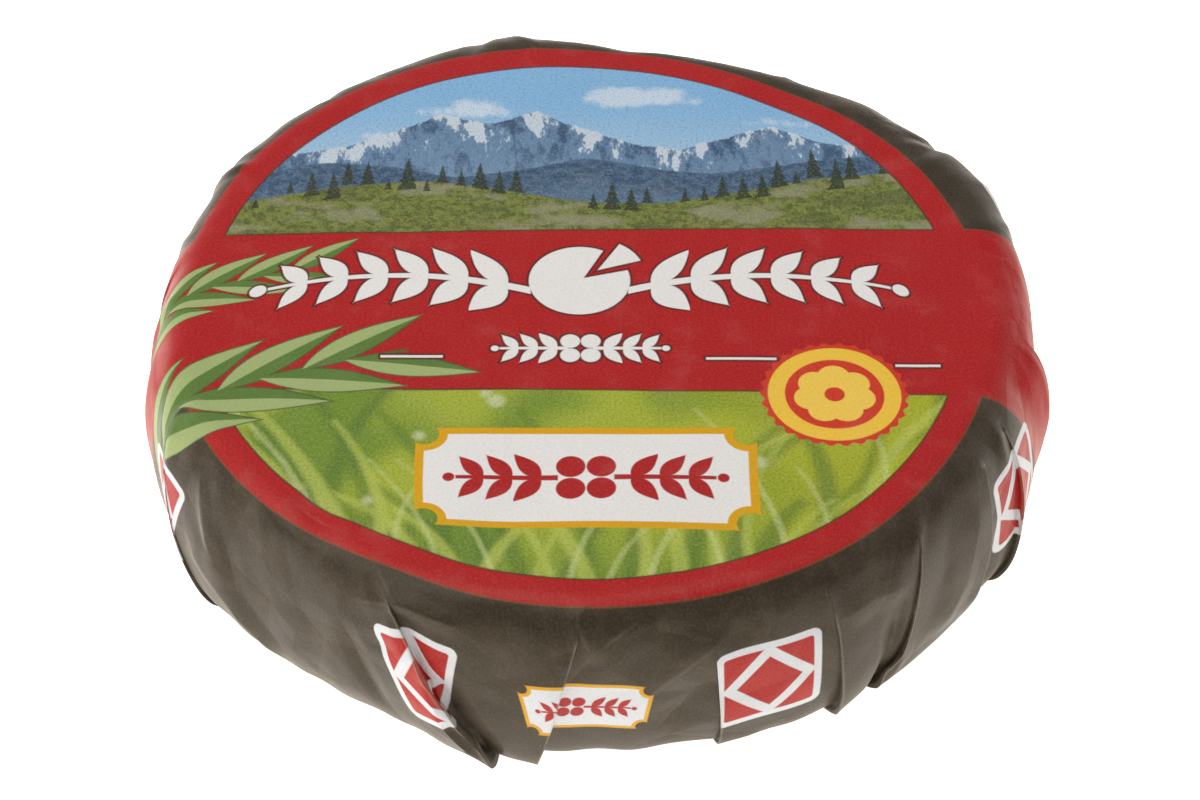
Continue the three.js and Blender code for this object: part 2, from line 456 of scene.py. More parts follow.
def round_soft_folds(reach, angle, levels):
    """The paper bends gently, not sharply, at folds where none is laid over."""
    depth = levels[1]
    for fold in filter(is_soft, FOLDS):
        for i in np.nonzero(depth > 0)[0]:
            gap = waist_distance(angle[i], fold_angle(fold, depth[i]))
            columns = np.nonzero(np.abs(gap) < SOFT_FOLD_SPREAD)[0]
            if len(columns) < 4:
                continue
            columns = columns[np.argsort(gap[columns])]
            t = gap[columns] / SOFT_FOLD_SPREAD
            values = reach[i, columns]
            gentle = np.polyval(np.polyfit(t, values, 4), t)
            reach[i, columns] = mix(values, gentle, (1 - t ** 2) ** 2)
    return reach


# Creases and waves in the paper

def crease_relief(angle, depth):
    """Height of all creases at each point, as tents that fade out at both ends. With it go
    the distance beside the nearest one and how close its line is, from 0 to 1."""
    relief, side, near = np.zeros_like(angle), np.full_like(angle, FAR_ASIDE), np.zeros_like(angle)
    for start_angle, start_depth, end_angle, end_depth, crease_height, left, right in CREASES:
        middle_angle = (start_angle + end_angle) / 2
        start_u, end_u = (waist_distance(place, middle_angle) for place in (start_angle, end_angle))
        along = np.array([end_u - start_u, (end_depth - start_depth) * SIDE_ARC])
        length = np.hypot(*along)
        along = along / length
        u, v = waist_distance(angle, middle_angle) - start_u, (depth - start_depth) * SIDE_ARC
        run = u * along[0] + v * along[1]
        aside = u * along[1] - v * along[0]
        tent = np.clip(1 - np.abs(aside) / np.where(aside < 0, left, right), 0, 1)
        ends = np.clip((run + 2) / 4, 0, 1) * np.clip((length + 2 - run) / 4, 0, 1)
        relief += crease_height * tent * ends
        close = np.clip(2 - np.abs(aside), 0, 1) * ends * min(1, abs(crease_height) / 0.5)
        side = np.where(close > near, aside, side)
        near = np.maximum(near, close)
    return relief, side, near


def smooth_waves(angle, v, count, around, along, rng):
    """Seeded soft waves, whole numbers of them round the wheel."""
    total = np.zeros_like(angle)
    for _ in range(count):
        turns = rng.integers(around[0], around[1] + 1)
        pitch = rng.uniform(*along) * rng.choice((-1, 1))
        phase = rng.uniform(0, 2 * np.pi)
        total += np.cos(np.radians(angle) * turns + 2 * np.pi * v / pitch + phase)
    return total / math.sqrt(count)


def crumple(angle, v, cells, rng):
    """Flat facets with straight creases between them, as in paper that was crushed."""
    rows = int(SIDE_ARC * cells / (2 * np.pi * WAIST_RADIUS)) + 6
    heights = rng.uniform(-1, 1, (cells, rows))
    wander_a, wander_b = (0.35 * smooth_waves(angle, v, 3, (5, 14), (18, 40), rng) for _ in range(2))
    a = angle / 360 * cells + wander_a
    b = v / (2 * np.pi * WAIST_RADIUS) * cells + 2 + wander_b
    i, j = np.floor(a).astype(int), np.clip(np.floor(b).astype(int), 0, rows - 2)
    fa, fb = a - i, np.clip(b - j, 0, 1)
    i0, i1 = i % cells, (i + 1) % cells
    h00, h10, h01, h11 = heights[i0, j], heights[i1, j], heights[i0, j + 1], heights[i1, j + 1]
    lower = h00 + fa * (h10 - h00) + fb * (h01 - h00)
    upper = h11 + (1 - fa) * (h01 - h11) + (1 - fb) * (h10 - h11)
    return np.where(fa + fb < 1, lower, upper)


def flat_ripples(x, y, rng):
    """Seeded soft ripples that run in all directions over the flat top."""
    ripples = np.zeros_like(x)
    for _ in range(10):
        direction, pitch, phase = rng.uniform(0, 2 * np.pi), rng.uniform(14, 34), rng.uniform(0, 2 * np.pi)
        ripples += np.cos(2 * np.pi * (x * math.cos(direction) + y * math.sin(direction)) / pitch + phase)
    return ripples


def paper_relief(angle, levels):
    """How far each point of the paper stands off the plain folded form, and its creases."""
    inward, depth, radius, _, _ = (a[:, None] for a in levels)
    rng = np.random.default_rng(SEED)
    v = depth * SIDE_ARC + np.where(depth == 0, radius - TOP_RADIUS, 0)
    side = smoothstep(depth, 0.02, 0.3) * (1 - smoothstep(depth, 0.9, 1.0))
    top = np.where(depth == 0, smoothstep(inward, 0.0, 0.9), 1 - smoothstep(depth, 0.1, 0.4))
    drapes = smooth_waves(angle, v, 9, (14, 46), (60, 160), rng)
    patches = 0.5 + 0.5 * np.clip(smooth_waves(angle, v, 4, (3, 9), (40, 90), rng), -1, 1)
    large = crumple(angle, v, 46, rng)
    small = crumple(angle, v, 110, rng)
    relief = side * (DRAPES * drapes + patches * (LARGE_FACETS * large + SMALL_FACETS * small))
    relief += top * TOP_RIPPLES * flat_ripples(*place_at(radius, angle), rng)
    near_rim = np.where(depth == 0, smoothstep(inward, 0.93, 1.0), 1 - smoothstep(depth, 0.85, 0.95))
    creases, side_of_crease, near_crease = crease_relief(angle, np.broadcast_to(depth, angle.shape))
    return relief + near_rim * creases, side_of_crease, near_rim * near_crease


# Soft shapes of the print, worked out at each point of the mesh

def curve(start, middle, end, count=14):
    """Points on a smooth curve through three places."""
    t = np.linspace(0, 1, count)[:, None]
    a, b, c = (np.array(p, float) for p in (start, middle, end))
    bend = 2 * b - (a + c) / 2
    return (1 - t) ** 2 * a + 2 * t * (1 - t) * bend + t ** 2 * c


def along_line(x, y, points):
    """The nearest place on a line of straight runs: how far along it, and how far to its left.
    The line's two ends go on straight for ever."""
    run = np.diff(points, axis=0)
    length = np.hypot(*run.T)
    right, up = (run / length[:, None]).T
    dx, dy = x[:, None] - points[:-1, 0], y[:, None] - points[:-1, 1]
    low, high = np.zeros(len(run)), length.copy()
    low[0], high[-1] = -np.inf, np.inf
    kept = np.clip(dx * right + dy * up, low, high)
    gap = np.hypot(dx - kept * right, dy - kept * up)
    aside = np.copysign(gap, dy * right - dx * up)
    along = kept + np.cumsum(length) - length
    nearest = np.arange(len(x)), gap.argmin(axis=1)
    return along[nearest], aside[nearest]


def ridge_line(x, heights, smoothness):
    """A hill line through evenly spaced heights, with rounder tops the smoother it is."""
    places = np.linspace(-PICTURE_END, PICTURE_END, len(heights))
    fine = np.linspace(-PICTURE_END, PICTURE_END, 601)
    line = np.interp(fine, places, heights)
    width = max(3, int((len(fine) - 1) / (len(heights) - 1) * smoothness))
    kernel = np.hanning(width)
    padded = np.pad(line, width, mode="edge")
    smooth = np.convolve(padded, kernel / kernel.sum(), mode="same")[width:-width]
    return np.interp(x, fine, smooth)


def puffy_clouds(x, y):
    """Heaps of soft round puffs along each cloud, the largest in its middle."""
    rng = np.random.default_rng(SEED + 5)
    clouds = np.full_like(x, -np.inf)
    for (across, up), length in CLOUDS:
        for share in np.linspace(-1, 1, 7):
            size = length * 0.17 * (1.25 - 0.75 * share ** 2) * rng.uniform(0.75, 1.2)
            dx, dy = x - across - share * length * 0.42, y - up - 0.35 * size
            clouds = np.maximum(clouds, size - np.hypot(dx / 1.25, dy / 0.8))
    return clouds


def grass_blades(x, y, seed, count, widths):
    """Tapering blades that fan out from below the green field and droop at their tips."""
    rng = np.random.default_rng(seed)
    blades = np.full_like(x, -np.inf)
    for i in range(count):
        foot_x = mix(-56, 56, (i + rng.uniform(0.1, 0.9)) / count)
        foot = np.array([foot_x, -math.sqrt(max(0, 59 ** 2 - foot_x ** 2)) - 1])
        lean = math.radians(90 - 0.45 * foot_x + rng.uniform(-32, 32))
        upward = np.array([math.cos(lean), math.sin(lean)])
        length = rng.uniform(14, 40)
        droop = length * rng.uniform(0.1, 0.22) * np.array([-upward[1], upward[0]])
        tip = foot + length * upward - droop * np.sign(upward[0])
        middle = (foot + tip) / 2 + droop * 0.6 * np.sign(upward[0])
        along, aside = along_line(x, y, curve(foot, middle, tip, 7))
        half = rng.uniform(*widths) * (1 - 0.7 * np.clip(along / length, 0, 1))
        blades = np.maximum(blades, np.minimum(half - np.abs(aside), length - along))
    return blades


def dew_drops(x, y, seed, count, size):
    """Round out-of-focus lights on the green field."""
    rng = np.random.default_rng(seed)
    drops = np.full_like(x, -np.inf)
    for _ in range(count):
        angle, reach = rng.uniform(np.pi, 2 * np.pi), rng.uniform(22, 55)
        gap = np.hypot(x - reach * math.cos(angle), y - reach * math.sin(angle))
        drops = np.maximum(drops, size * rng.uniform(0.5, 1.3) - gap)
    return drops


def in_field(shape, x, y, *settings):
    """A shape of the green field, worked out only where the field is."""
    values = np.full_like(x, -FAR_ASIDE)
    here = (y < BAND_BOTTOM[0] + 2) & (np.hypot(x, y) < RING_INNER_RADIUS + 2)
    values[here] = shape(x[here], y[here], *settings)
    return values


def soft_fields(x, y):
    """The fields that the mesh carries, by name."""
    sprig_along, sprig_aside = along_line(x, y, curve(*SPRIG, 24))
    twig_along, twig_aside = along_line(x, y, curve(*TWIG, 16))
    nearer_twig = y > SPRIG_LIMIT[0] + SPRIG_LIMIT[1] * x
    return {
        "far_peaks": ridge_line(x, FAR_PEAKS, 0.15) - y,
        "near_hills": ridge_line(x, NEAR_HILLS, 0.9) - y,
        "meadow": ridge_line(x, MEADOW, 0.9) - y,
        "clouds": puffy_clouds(x, y),
        "light_blades": in_field(grass_blades, x, y, SEED + 7, 22, (0.6, 1.5)),
        "dark_blades": in_field(grass_blades, x, y, SEED + 8, 24, (0.7, 1.9)),
        "veins": in_field(grass_blades, x, y, SEED + 10, 14, (0.35, 0.5)),
        "dew": in_field(dew_drops, x, y, SEED + 9, 12, 1.5),
        "spray_along": np.where(nearer_twig, twig_along / TWIG_SCALE, sprig_along),
        "spray_aside": np.where(nearer_twig, -twig_aside / TWIG_SCALE, sprig_aside),
    }


# The mesh

def ring_quads(first, second):
    """Faces between two closed rings of as many points."""
    return np.stack([first, second, np.roll(second, -1), np.roll(first, -1)], axis=1)


def ring_reduction(fine, coarse):
    """Triangles between a closed ring and one with half its points."""
    a, b, c = fine[::2], fine[1::2], np.roll(fine[::2], -1)
    p, q = coarse, np.roll(coarse, -1)
    return np.stack([a, p, b, b, p, q, b, q, c], axis=1).reshape(-1, 3)


def ring_fan(ring, pole):
    """Triangles between a closed ring and one point."""
    return np.stack([ring, np.roll(ring, -1), np.full(len(ring), pole)], axis=1)


def level_faces(number, stride, top_pole, low_pole):
    """Faces between all neighbouring levels and at both poles, from the points' numbers."""
    rings = [number[i, ::step] for i, step in enumerate(stride)]
    quads, triangles = [], []
    for upper, lower in zip(rings, rings[1:]):
        if len(upper) == len(lower):
            quads.append(ring_quads(upper, lower))
        elif len(upper) < len(lower):
            triangles.append(ring_reduction(lower, upper)[:, ::-1])
        else:
            triangles.append(ring_reduction(upper, lower))
    triangles.append(ring_fan(rings[0], top_pole))
    triangles.append(ring_fan(rings[-1], low_pole)[:, [1, 0, 2]])
    return [tuple(face) for block in quads + triangles for face in block.tolist()]


def smooth_sheet_middles():
    """For each column, the angle in the middle of the run of paper between its two laps."""
    laps = np.array([fold.rim for fold in FOLDS if not is_soft(fold)])
    laps = np.concatenate([laps[-1:] - 360, laps, laps[:2] + 360])
    rims = np.array([fold.rim for fold in FOLDS])
    rims = np.concatenate([rims, rims[:2] + 360])
    following = np.searchsorted(laps, (rims[:-1] + rims[1:]) / 2)
    run_middles = (laps[following - 1] + laps[following]) / 2
    middles = []
    for share, here, after in zip(panel_columns(), run_middles, run_middles[1:]):
        middles += [here] * len(share)
        middles += [mix(here, after, part) for part in FOLD_SHARES]
    return np.array(middles)


def print_slide(angle, sheet):
    """How far the print lies outwards. It grows over the outer part of the top up to the
    ring, and then once more, behind over the ring itself and in front below it."""
    angles, distances = zip(*SLIDES)
    slide = sum(np.interp(angle + step, angles, distances, period=360) for step in SLIDE_WINDOW)
    behind = smoothstep(np.sin(np.radians(angle)), -0.2, 0.2)
    over_ring = smoothstep(sheet, RING_INNER_RADIUS, RING_RADIUS)
    below_ring = smoothstep(sheet, *(RING_RADIUS + below for below in SLIDE_BELOW_RING))
    growth = smoothstep(sheet, SLIDE_START, RING_INNER_RADIUS)
    growth = growth + SLIDE_GROWTH * mix(below_ring, over_ring, behind)
    return slide / len(SLIDE_WINDOW) * growth


def flat_sheet(reach, angle, plain_height):
    """Where each point lies on the flat sheet, as its radius and angle. The sheet runs along
    the folded form, and turns round the middle of each run of paper."""
    arc = np.hypot(np.diff(reach, axis=0, prepend=0), np.diff(plain_height, prepend=HEIGHT)[:, None])
    sheet = np.cumsum(arc, axis=0)
    middle_angle = smooth_sheet_middles()
    sheet_angle = middle_angle + (angle - middle_angle) * np.minimum(1, reach / sheet)
    return sheet - print_slide(angle, sheet), sheet_angle


def paper_mesh():
    """The whole wrapped wheel as one closed mesh, with its sheet coordinates and fields, and
    the place of the wheel's middle before it is centred."""
    levels = surface_levels()
    _, _, plain_radius, plain_height, stride = levels
    reach, angle, lift, worn_and_shining_edge = wheel_surface(levels)
    relief, crease_side, crease_near = paper_relief(angle, levels)
    sheet, sheet_angle = flat_sheet(reach, angle, plain_height)

    # The relief pushes along the plain wheel's own normal
    along_r, along_z = np.gradient(plain_radius), np.gradient(plain_height)
    size = np.hypot(along_r, along_z)
    radius = reach + relief * (-along_z / size)[:, None]
    height = np.maximum(plain_height[:, None] + lift + relief * (along_r / size)[:, None], 0)
    x, y = place_at(radius, angle)
    middle = np.array([(x.min() + x.max()) / 2, (y.min() + y.max()) / 2])

    # Points are kept only where a level's stride needs them. Two poles follow them.
    keep = np.arange(x.shape[1]) % stride[:, None] == 0
    number = np.cumsum(keep).reshape(keep.shape) - 1
    top_pole, low_pole = keep.sum(), keep.sum() + 1
    points = np.stack([x[keep] - middle[0], y[keep] - middle[1], height[keep]], axis=1)
    points = np.concatenate([points, [[*-middle, HEIGHT], [*-middle, 0]]])
    places = np.stack(place_at(sheet[keep], sheet_angle[keep]), axis=1) - PRINT_CENTRE
    places = np.concatenate([places, [-np.array(PRINT_CENTRE), [sheet[-1].mean(), 0]]])

    mesh = bpy.data.meshes.new("paper_wrap")
    mesh.from_pydata((points * MM).tolist(), [], level_faces(number, stride, top_pole, low_pole))
    mesh.update()
    mesh.shade_smooth()
    mesh.set_sharp_from_angle(angle=math.radians(SHARP_ANGLE))
    fields = soft_fields(*places.T)
    fields["crease_side"] = np.append(crease_side[keep], [FAR_ASIDE, FAR_ASIDE])
    fields["crease_near"] = np.append(crease_near[keep], [0, 0])
    fields["lap_edge_worn_and_lit"] = np.append(worn_and_shining_edge[keep], [0, 0])
    for name, values in fields.items():
        attribute = mesh.attributes.new(name, "FLOAT", "POINT")
        attribute.data.foreach_set("value", values.astype(np.float32))
    add_sheet_unwrap(mesh, places, low_pole)
    return mesh, middle


def add_sheet_unwrap(mesh, places, low_pole):
    """The flat sheet as the mesh's unwrap, SHEET_SPAN wide in all. The low pole lies all
    round the sheet's edge, so each of the last triangles has a place of its own for it."""
    corner = np.empty(len(mesh.loops), int)
    mesh.loops.foreach_get("vertex_index", corner)
    uv = 0.5 + places[corner] / SHEET_SPAN
    fan = uv[-3 * np.count_nonzero(corner == low_pole):].reshape(-1, 3, 2)
    fan[:, 2] = (fan[:, 0] + fan[:, 1]) / 2
    mesh.uv_layers.new(name="OFBake").data.foreach_set("uv", uv.astype(np.float32).ravel())


# Numbers that the material works out at every point

def feed(tree, socket, value):
    """Sets an input, or links it to what other nodes work out."""
    if isinstance(value, Value):
        value = value.socket
    if isinstance(value, bpy.types.NodeSocket):
        tree.links.new(value, socket)
    else:
        socket.default_value = value


class Value:
    """A number at each point of the paper, made by shader nodes."""

    def __init__(self, tree, socket):
        self.tree = tree
        self.socket = socket

    def join(self, operation, *others):
        node = self.tree.nodes.new("ShaderNodeMath")
        node.operation = operation
        for socket, value in zip(node.inputs, (self, *others)):
            feed(self.tree, socket, value)
        return Value(self.tree, node.outputs[0])

    __add__ = __radd__ = partialmethod(join, "ADD")
    __mul__ = __rmul__ = partialmethod(join, "MULTIPLY")
    __sub__ = partialmethod(join, "SUBTRACT")
    __truediv__ = partialmethod(join, "DIVIDE")
    __neg__ = partialmethod(join, "MULTIPLY", -1.0)
    __abs__ = partialmethod(join, "ABSOLUTE")
    floor = partialmethod(join, "FLOOR")
    sine = partialmethod(join, "SINE")
    cosine = partialmethod(join, "COSINE")
    above = partialmethod(join, "GREATER_THAN")

    def __rsub__(self, other):
        return -self + other

    def sector(self, count):
        """An angle in radians, counted from the middle of the nearest of so many sectors."""
        return self.join("WRAP", math.pi / count, -math.pi / count)

    def clip(self, low, high):
        return self.join("MAXIMUM", low).join("MINIMUM", high)


def length_of(a, b):
    return (a * a + b * b).join("SQRT")


def chain(operation, first, *others):
    """Joins any number of values by one operation."""
    for other in others:
        first = first.join(operation, other)
    return first


lowest = partial(chain, "MINIMUM")
highest = partial(chain, "MAXIMUM")


# Shapes on the flat sheet, as signed distances in millimetres, positive inside

def disc(x, y, centre, radius):
    return radius - length_of(x - centre[0], y - centre[1])


def turned(x, y, centre, angle):
    """Coordinates round a centre, along and across a direction."""
    c, s = math.cos(math.radians(angle)), math.sin(math.radians(angle))
    dx, dy = x - centre[0], y - centre[1]
    return dx * c + dy * s, dy * c - dx * s


def box(x, y, centre, half_size, rounding=0.0):
    dx = abs(x - centre[0]) - (half_size[0] - rounding)
    dy = abs(y - centre[1]) - (half_size[1] - rounding)
    outside = length_of(highest(dx, 0.0), highest(dy, 0.0))
    return rounding - outside - lowest(highest(dx, dy), 0.0)


def leaf(along, across, length, width):
    """A pointed oval leaf from the origin, widest a little before its middle."""
    share = (along / length).clip(0.0, 1.0).join("POWER", 0.8)
    half = (share * math.pi).sine() * width
    return lowest(half - abs(across), along + 0.3, length + 0.3 - along)


def leafy_stem(along, across, pitch, count, size, lean, thickness, overlapping=False):
    """A stem with a leaf on either side in each pitch. Size is a leaf's length and half
    width. Overlapping leaves reach into the next pitch, and the two sides alternate. Also
    gives the leaves' own coordinate across, which tells their halves apart."""
    moved = along + across.join("SIGN") * (pitch / 4) if overlapping else along
    leaves, leaf_across = None, None
    for back in (0, 1) if overlapping else (0,):
        cell = lowest(highest((moved / pitch - back).floor(), 0.0), count - 1.0)
        scale = 1.0 - cell * LEAF_SHRINK
        u, w = (moved - cell * pitch) / scale, abs(across) / scale
        blade_along, blade_across = turned(u, w, (0.4, 0.0), lean)
        blade = leaf(blade_along, blade_across, *size) * scale
        if leaves is None:
            leaves, leaf_across = blade, blade_across
        else:
            leaf_across = leaf_across + (blade_across - leaf_across) * blade.above(leaves)
            leaves = highest(leaves, blade)
    leaves = lowest(leaves, moved + 0.4)
    bare = thickness - along * 0.012 - abs(across)
    stem = lowest(bare, along + 3.0, count * pitch - along)
    return leaves, stem, leaf_across


def flower(x, y, centre, size, petals, angle=90):
    """A simple flower of round petals."""
    dx, dy = x - centre[0], y - centre[1]
    turn = (dy.join("ARCTAN2", dx) - math.radians(angle)).sector(petals)
    reach = length_of(dx, dy)
    return disc(reach * turn.cosine(), reach * turn.sine(), (0.6 * size, 0.0), 0.41 * size)


def cut_wheel(x, y):
    """A round wheel from its centre, with one wedge cut and drawn out of it."""
    along, across = turned(x, y, (0.6, 0.5), 40)
    notch = along * 0.42 - abs(across) * 0.91
    along, across = turned(x, y, (2.6, 2.2), 40)
    wedge = lowest(along * 0.36 - abs(across) * 0.93, disc(x, y, (2.0, 1.7), WHEEL_RADIUS))
    return highest(lowest(disc(x, y, (0.0, 0.0), WHEEL_RADIUS), -notch), wedge)


# The printed design

# The ornaments' zones, from the lowest on the sheet upwards. Each has its upper end, its
# ornament's centre and scale, where the leaves start, how many there are, and its label's scale.
Zone = namedtuple("Zone", "top x y scale start leaves plaque_scale")
ZONES = [
    Zone(-64, 0.0, -SMALL_PLAQUE_RADIUS, 0.72 * SMALL_PLAQUE_SCALE, 8.6, 3.0, SMALL_PLAQUE_SCALE),
    Zone(-24, *PLAQUE_CENTRE, 0.72, 8.6, 3.0, 1.0),
    Zone(-4.6, -0.4, -10.2, 0.5, 6.6, 3.0, 1.0),
    Zone(None, -0.6, 4.9, 1.05, 10.0, 6.0, 1.0),
]


def by_zone(height, name):
    """A measure that differs from zone to zone, from the lowest on the sheet upwards."""
    measures = [getattr(zone, name) for zone in ZONES]
    total = measures[0]
    for zone, below, here in zip(ZONES, measures, measures[1:]):
        if here != below:
            total = height.above(zone.top) * (here - below) + total
    return total


def ornaments(x, y):
    """The ornament of each zone: leafy stems either side of a flower or, in the highest
    zone, of a cut wheel. The one on the far side mirrors the one in front. Also gives the
    labels that lie under two of them, without and with their borders."""
    height = y * (1.0 - y.above(-ZONES[0].top) * 2.0)
    topmost = height.above(ZONES[2].top)
    aside, above = x - by_zone(height, "x"), height - by_zone(height, "y")
    plaque_scale = by_zone(height, "plaque_scale")
    label = plaque(aside / plaque_scale, above / plaque_scale)
    label = label - height.above(ZONES[1].top) * NOWHERE

    scale, start, count = (by_zone(height, name) for name in ("scale", "start", "leaves"))
    u, w = abs(aside) / scale, above / scale
    bow = u - 27.0
    bowed = w + (bow * bow * 0.0085 - 1.2) * topmost
    leaves, stem, _ = leafy_stem(u - start, bowed, LEAF_PITCH, count,
                                 size=(8.6, 1.9), lean=50, thickness=0.7)
    bead = 1.2 - length_of(u - start - count * LEAF_PITCH - 1.4, bowed)
    middle = flower(u, w, (0.0, 0.0), size=7.2, petals=4, angle=45) - topmost * NOWHERE
    wheel = cut_wheel(aside / scale, w) - (1.0 - topmost) * NOWHERE
    shape = highest(leaves, stem, bead, middle, wheel) * scale
    return shape, label * plaque_scale, (label + PLAQUE_BORDER) * plaque_scale


def plaque(x, y):
    """A label with its four corners cut out in quarter rounds, from its centre."""
    label = box(x, y, (0.0, 0.0), PLAQUE_HALF_SIZE)
    return lowest(label, -disc(abs(x), abs(y), PLAQUE_HALF_SIZE, PLAQUE_CORNER))


def rules(x, y):
    """Thin rules on the band, left and right of the small ornament."""
    return highest(*(box(x, y, centre, (half_length, RULE_HALF_WIDTH)) for centre, half_length in RULES))


def round_patch(x, y):
    """The small labels round the side: their white paper and, in red, a square that a white
    diamond crosses."""
    turn = (y.join("ARCTAN2", x) - math.radians(PATCH_TURN)).sector(PATCH_COUNT)
    reach = length_of(x, y)
    along, across = reach * turn.cosine() - PATCH_RADIUS, reach * turn.sine()
    white = box(across, along, (0.0, 0.0), PATCH_HALF_SIZE, 1.4)
    inner = box(across, along, (0.0, 0.0), [half - PATCH_BORDER for half in PATCH_HALF_SIZE], 0.5)
    diamond = abs((abs(across) + abs(along)) * math.sqrt(0.5) - 4.3) - 0.8
    return white, lowest(inner, diamond)


def fir_trees(paper, across, above, pitch, tallest):
    """A row of firs of uneven height and place. Above is the height over the ground."""
    cell = (across / pitch).floor()
    luck, other = paper.scatter(cell * 1.37), paper.scatter(cell * 2.11 + 5.0)
    tall = (luck * luck * 0.75 + 0.25) * tallest
    foot = above + other * 3.5
    share = (foot / tall).clip(0.0, 1.0)
    tier = 1.0 - (share * 4.0).join("FRACT") * 0.4
    half = (1.0 - share) * tier * tall * 0.25 + 0.04
    middle = across - (cell + 0.35 + other * 0.3) * pitch
    tree = lowest(half - abs(middle), foot, tall - foot)
    return tree - luck.join("LESS_THAN", 0.3) * NOWHERE


# The printed paper's material

def srgb(red, green, blue):
    """A colour as seen, in the linear values that Blender takes."""
    def linear(value):
        value = value / 255
        return value / 12.92 if value <= 0.04045 else ((value + 0.055) / 1.055) ** 2.4
    return (linear(red), linear(green), linear(blue), 1.0)


class Paper:
    """The paper's material, with short names for its nodes. Colours are given as seen."""

    def __init__(self, name):
        self.material = bpy.data.materials.new(name)
        self.material.use_nodes = True
        self.tree = self.material.node_tree
        self.tree.nodes.clear()
        self.unwrap = self.new("ShaderNodeUVMap", uv_map="OFBake").outputs["UV"]
        parts = self.put(self.new("ShaderNodeSeparateXYZ"), Vector=self.unwrap)
        self.x, self.y = ((self.value(parts, axis) - 0.5) * SHEET_SPAN for axis in "XY")

    def new(self, kind, **settings):
        node = self.tree.nodes.new(kind)
        for key, value in settings.items():
            setattr(node, key, value)
        return node

    def put(self, node, **values):
        """Sets or links a node's inputs, named with low lines for spaces."""
        for name, value in values.items():
            feed(self.tree, node.inputs[name.replace("_", " ")], value)
        return node

    def value(self, node, output):
        return Value(self.tree, node.outputs[output])

    def field(self, name):
        return self.value(self.new("ShaderNodeAttribute", attribute_name=name), "Fac")

    def scatter(self, value):
        """An even random number from a number."""
        node = self.new("ShaderNodeTexWhiteNoise", noise_dimensions="1D")
        return self.value(self.put(node, W=value), "Value")

    def ramp(self, value, low, high, to_low=0.0, to_high=1.0):
        node = self.new("ShaderNodeMapRange", interpolation_type="SMOOTHSTEP")
        self.put(node, Value=value, From_Min=low, From_Max=high, To_Min=to_low, To_Max=to_high)
        return self.value(node, "Result")

    def blend(self, below, above, amount):
        """One colour laid over another."""
        node = self.put(self.new("ShaderNodeMix", data_type="RGBA", blend_type="MIX"), Factor=amount)
        for place, colour in ((6, below), (7, above)):
            feed(self.tree, node.inputs[place], srgb(*colour) if isinstance(colour, tuple) else colour)
        return node.outputs[2]

    def tint(self, below, above, value, low, high, most=1.0):
        """One colour laid over another, the more the further a value goes from low to high."""
        return self.blend(below, above, self.ramp(value, low, high, 0.0, most))

    def tints(self, colour, *rows):
        """Several tints laid over a colour in turn."""
        for row in rows:
            colour = self.tint(colour, *row)
        return colour

    def ink(self, below, colour, shape, strength=1.0, softness=INK_SOFTNESS):
        return self.tint(below, colour, shape, -softness, softness, strength)

    def texture(self, kind, grain, shift=0.0, turn=0.0, stretch=(1, 1), **settings):
        """A texture on the flat sheet, with its grain size in millimetres."""
        mapping = self.put(self.new("ShaderNodeMapping"), Vector=self.unwrap,
                           Location=(shift, shift, 0), Rotation=(0, 0, turn), Scale=(*stretch, 1))
        node = self.new(kind, **settings)
        return self.put(node, Vector=mapping.outputs["Vector"], Scale=SHEET_SPAN / grain)

    def noise(self, grain, detail, roughness, stretch=(1, 1), turn=0):
        """Cloudy noise from 0 to 1, with as many finer layers as its detail says."""
        node = self.texture("ShaderNodeTexNoise", grain, 0, math.radians(turn), stretch,
                            noise_dimensions="2D")
        return self.value(self.put(node, Detail=detail, Roughness=roughness), "Fac")


def picture_colour(p):
    """Sky, clouds, snowy range, wooded hills, meadow and firs of the upper picture."""
    rocky = p.noise(3.6, 4, 0.68, (1.0, 0.42), 32)
    leafy = p.noise(1.7, 3, 0.7, (1, 1.3))
    slopes = p.noise(13, 2, 0.55, (1, 2.4), -14)
    clouds = p.field("clouds") + p.noise(5, 3, 0.6) * 5.0
    range_depth = p.field("far_peaks") + (rocky - 0.5) * 2.2
    hill_depth = p.field("near_hills") + (leafy - 0.5) * 1.2
    ground = p.field("meadow")

    colour = p.tints((168, 200, 224), ((134, 184, 224), p.y, 30, 50),
                     ((222, 230, 238), clouds, 2.4, 4.6, 0.7))
    rock = p.tints((60, 90, 122), ((106, 138, 170), rocky, 0.34, 0.52),
                   ((208, 218, 228), rocky * 14.0 - range_depth * 0.3, 6.6, 7.5, 0.92),
                   ((140, 168, 194), range_depth, 5, 14, 0.3))
    wooded = p.tints((56, 84, 112), ((82, 110, 136), leafy, 0.4, 0.62),
                     ((108, 134, 158), hill_depth, 3, 9, 0.5))
    meadow = p.tints((126, 134, 62), ((88, 100, 44), leafy, 0.4, 0.64),
                     ((84, 92, 48), slopes, 0.48, 0.3, 0.6), ((150, 148, 120), slopes, 0.52, 0.68, 0.7))
    for ink, depth in ((rock, range_depth), (wooded, hill_depth), (meadow, ground)):
        colour = p.ink(colour, ink, depth, softness=PICTURE_SOFTNESS)
    firs = fir_trees(p, p.x, -ground - 0.4, pitch=2.9, tallest=7.6)
    return p.ink(colour, (42, 54, 36), firs, 0.88)


def field_colour(p):
    """The blurred green field of the lower picture."""
    return p.tints(
        (116, 144, 46),
        ((166, 178, 56), p.noise(22, 1, 0.5), 0.38, 0.6),
        ((174, 178, 34), p.x, -10, 46, 0.8),
        ((98, 132, 44), p.y, -42, -58, 0.6),
        ((84, 118, 40), p.field("dark_blades"), -1.1, 0.9, 0.62),
        ((192, 202, 92), p.field("light_blades"), -0.7, 0.6, 0.62),
        ((206, 214, 140), p.field("veins"), -0.5, 0.4, 0.6),
        ((216, 220, 176), p.field("dew"), -0.6, 0.6, 0.6),
    )


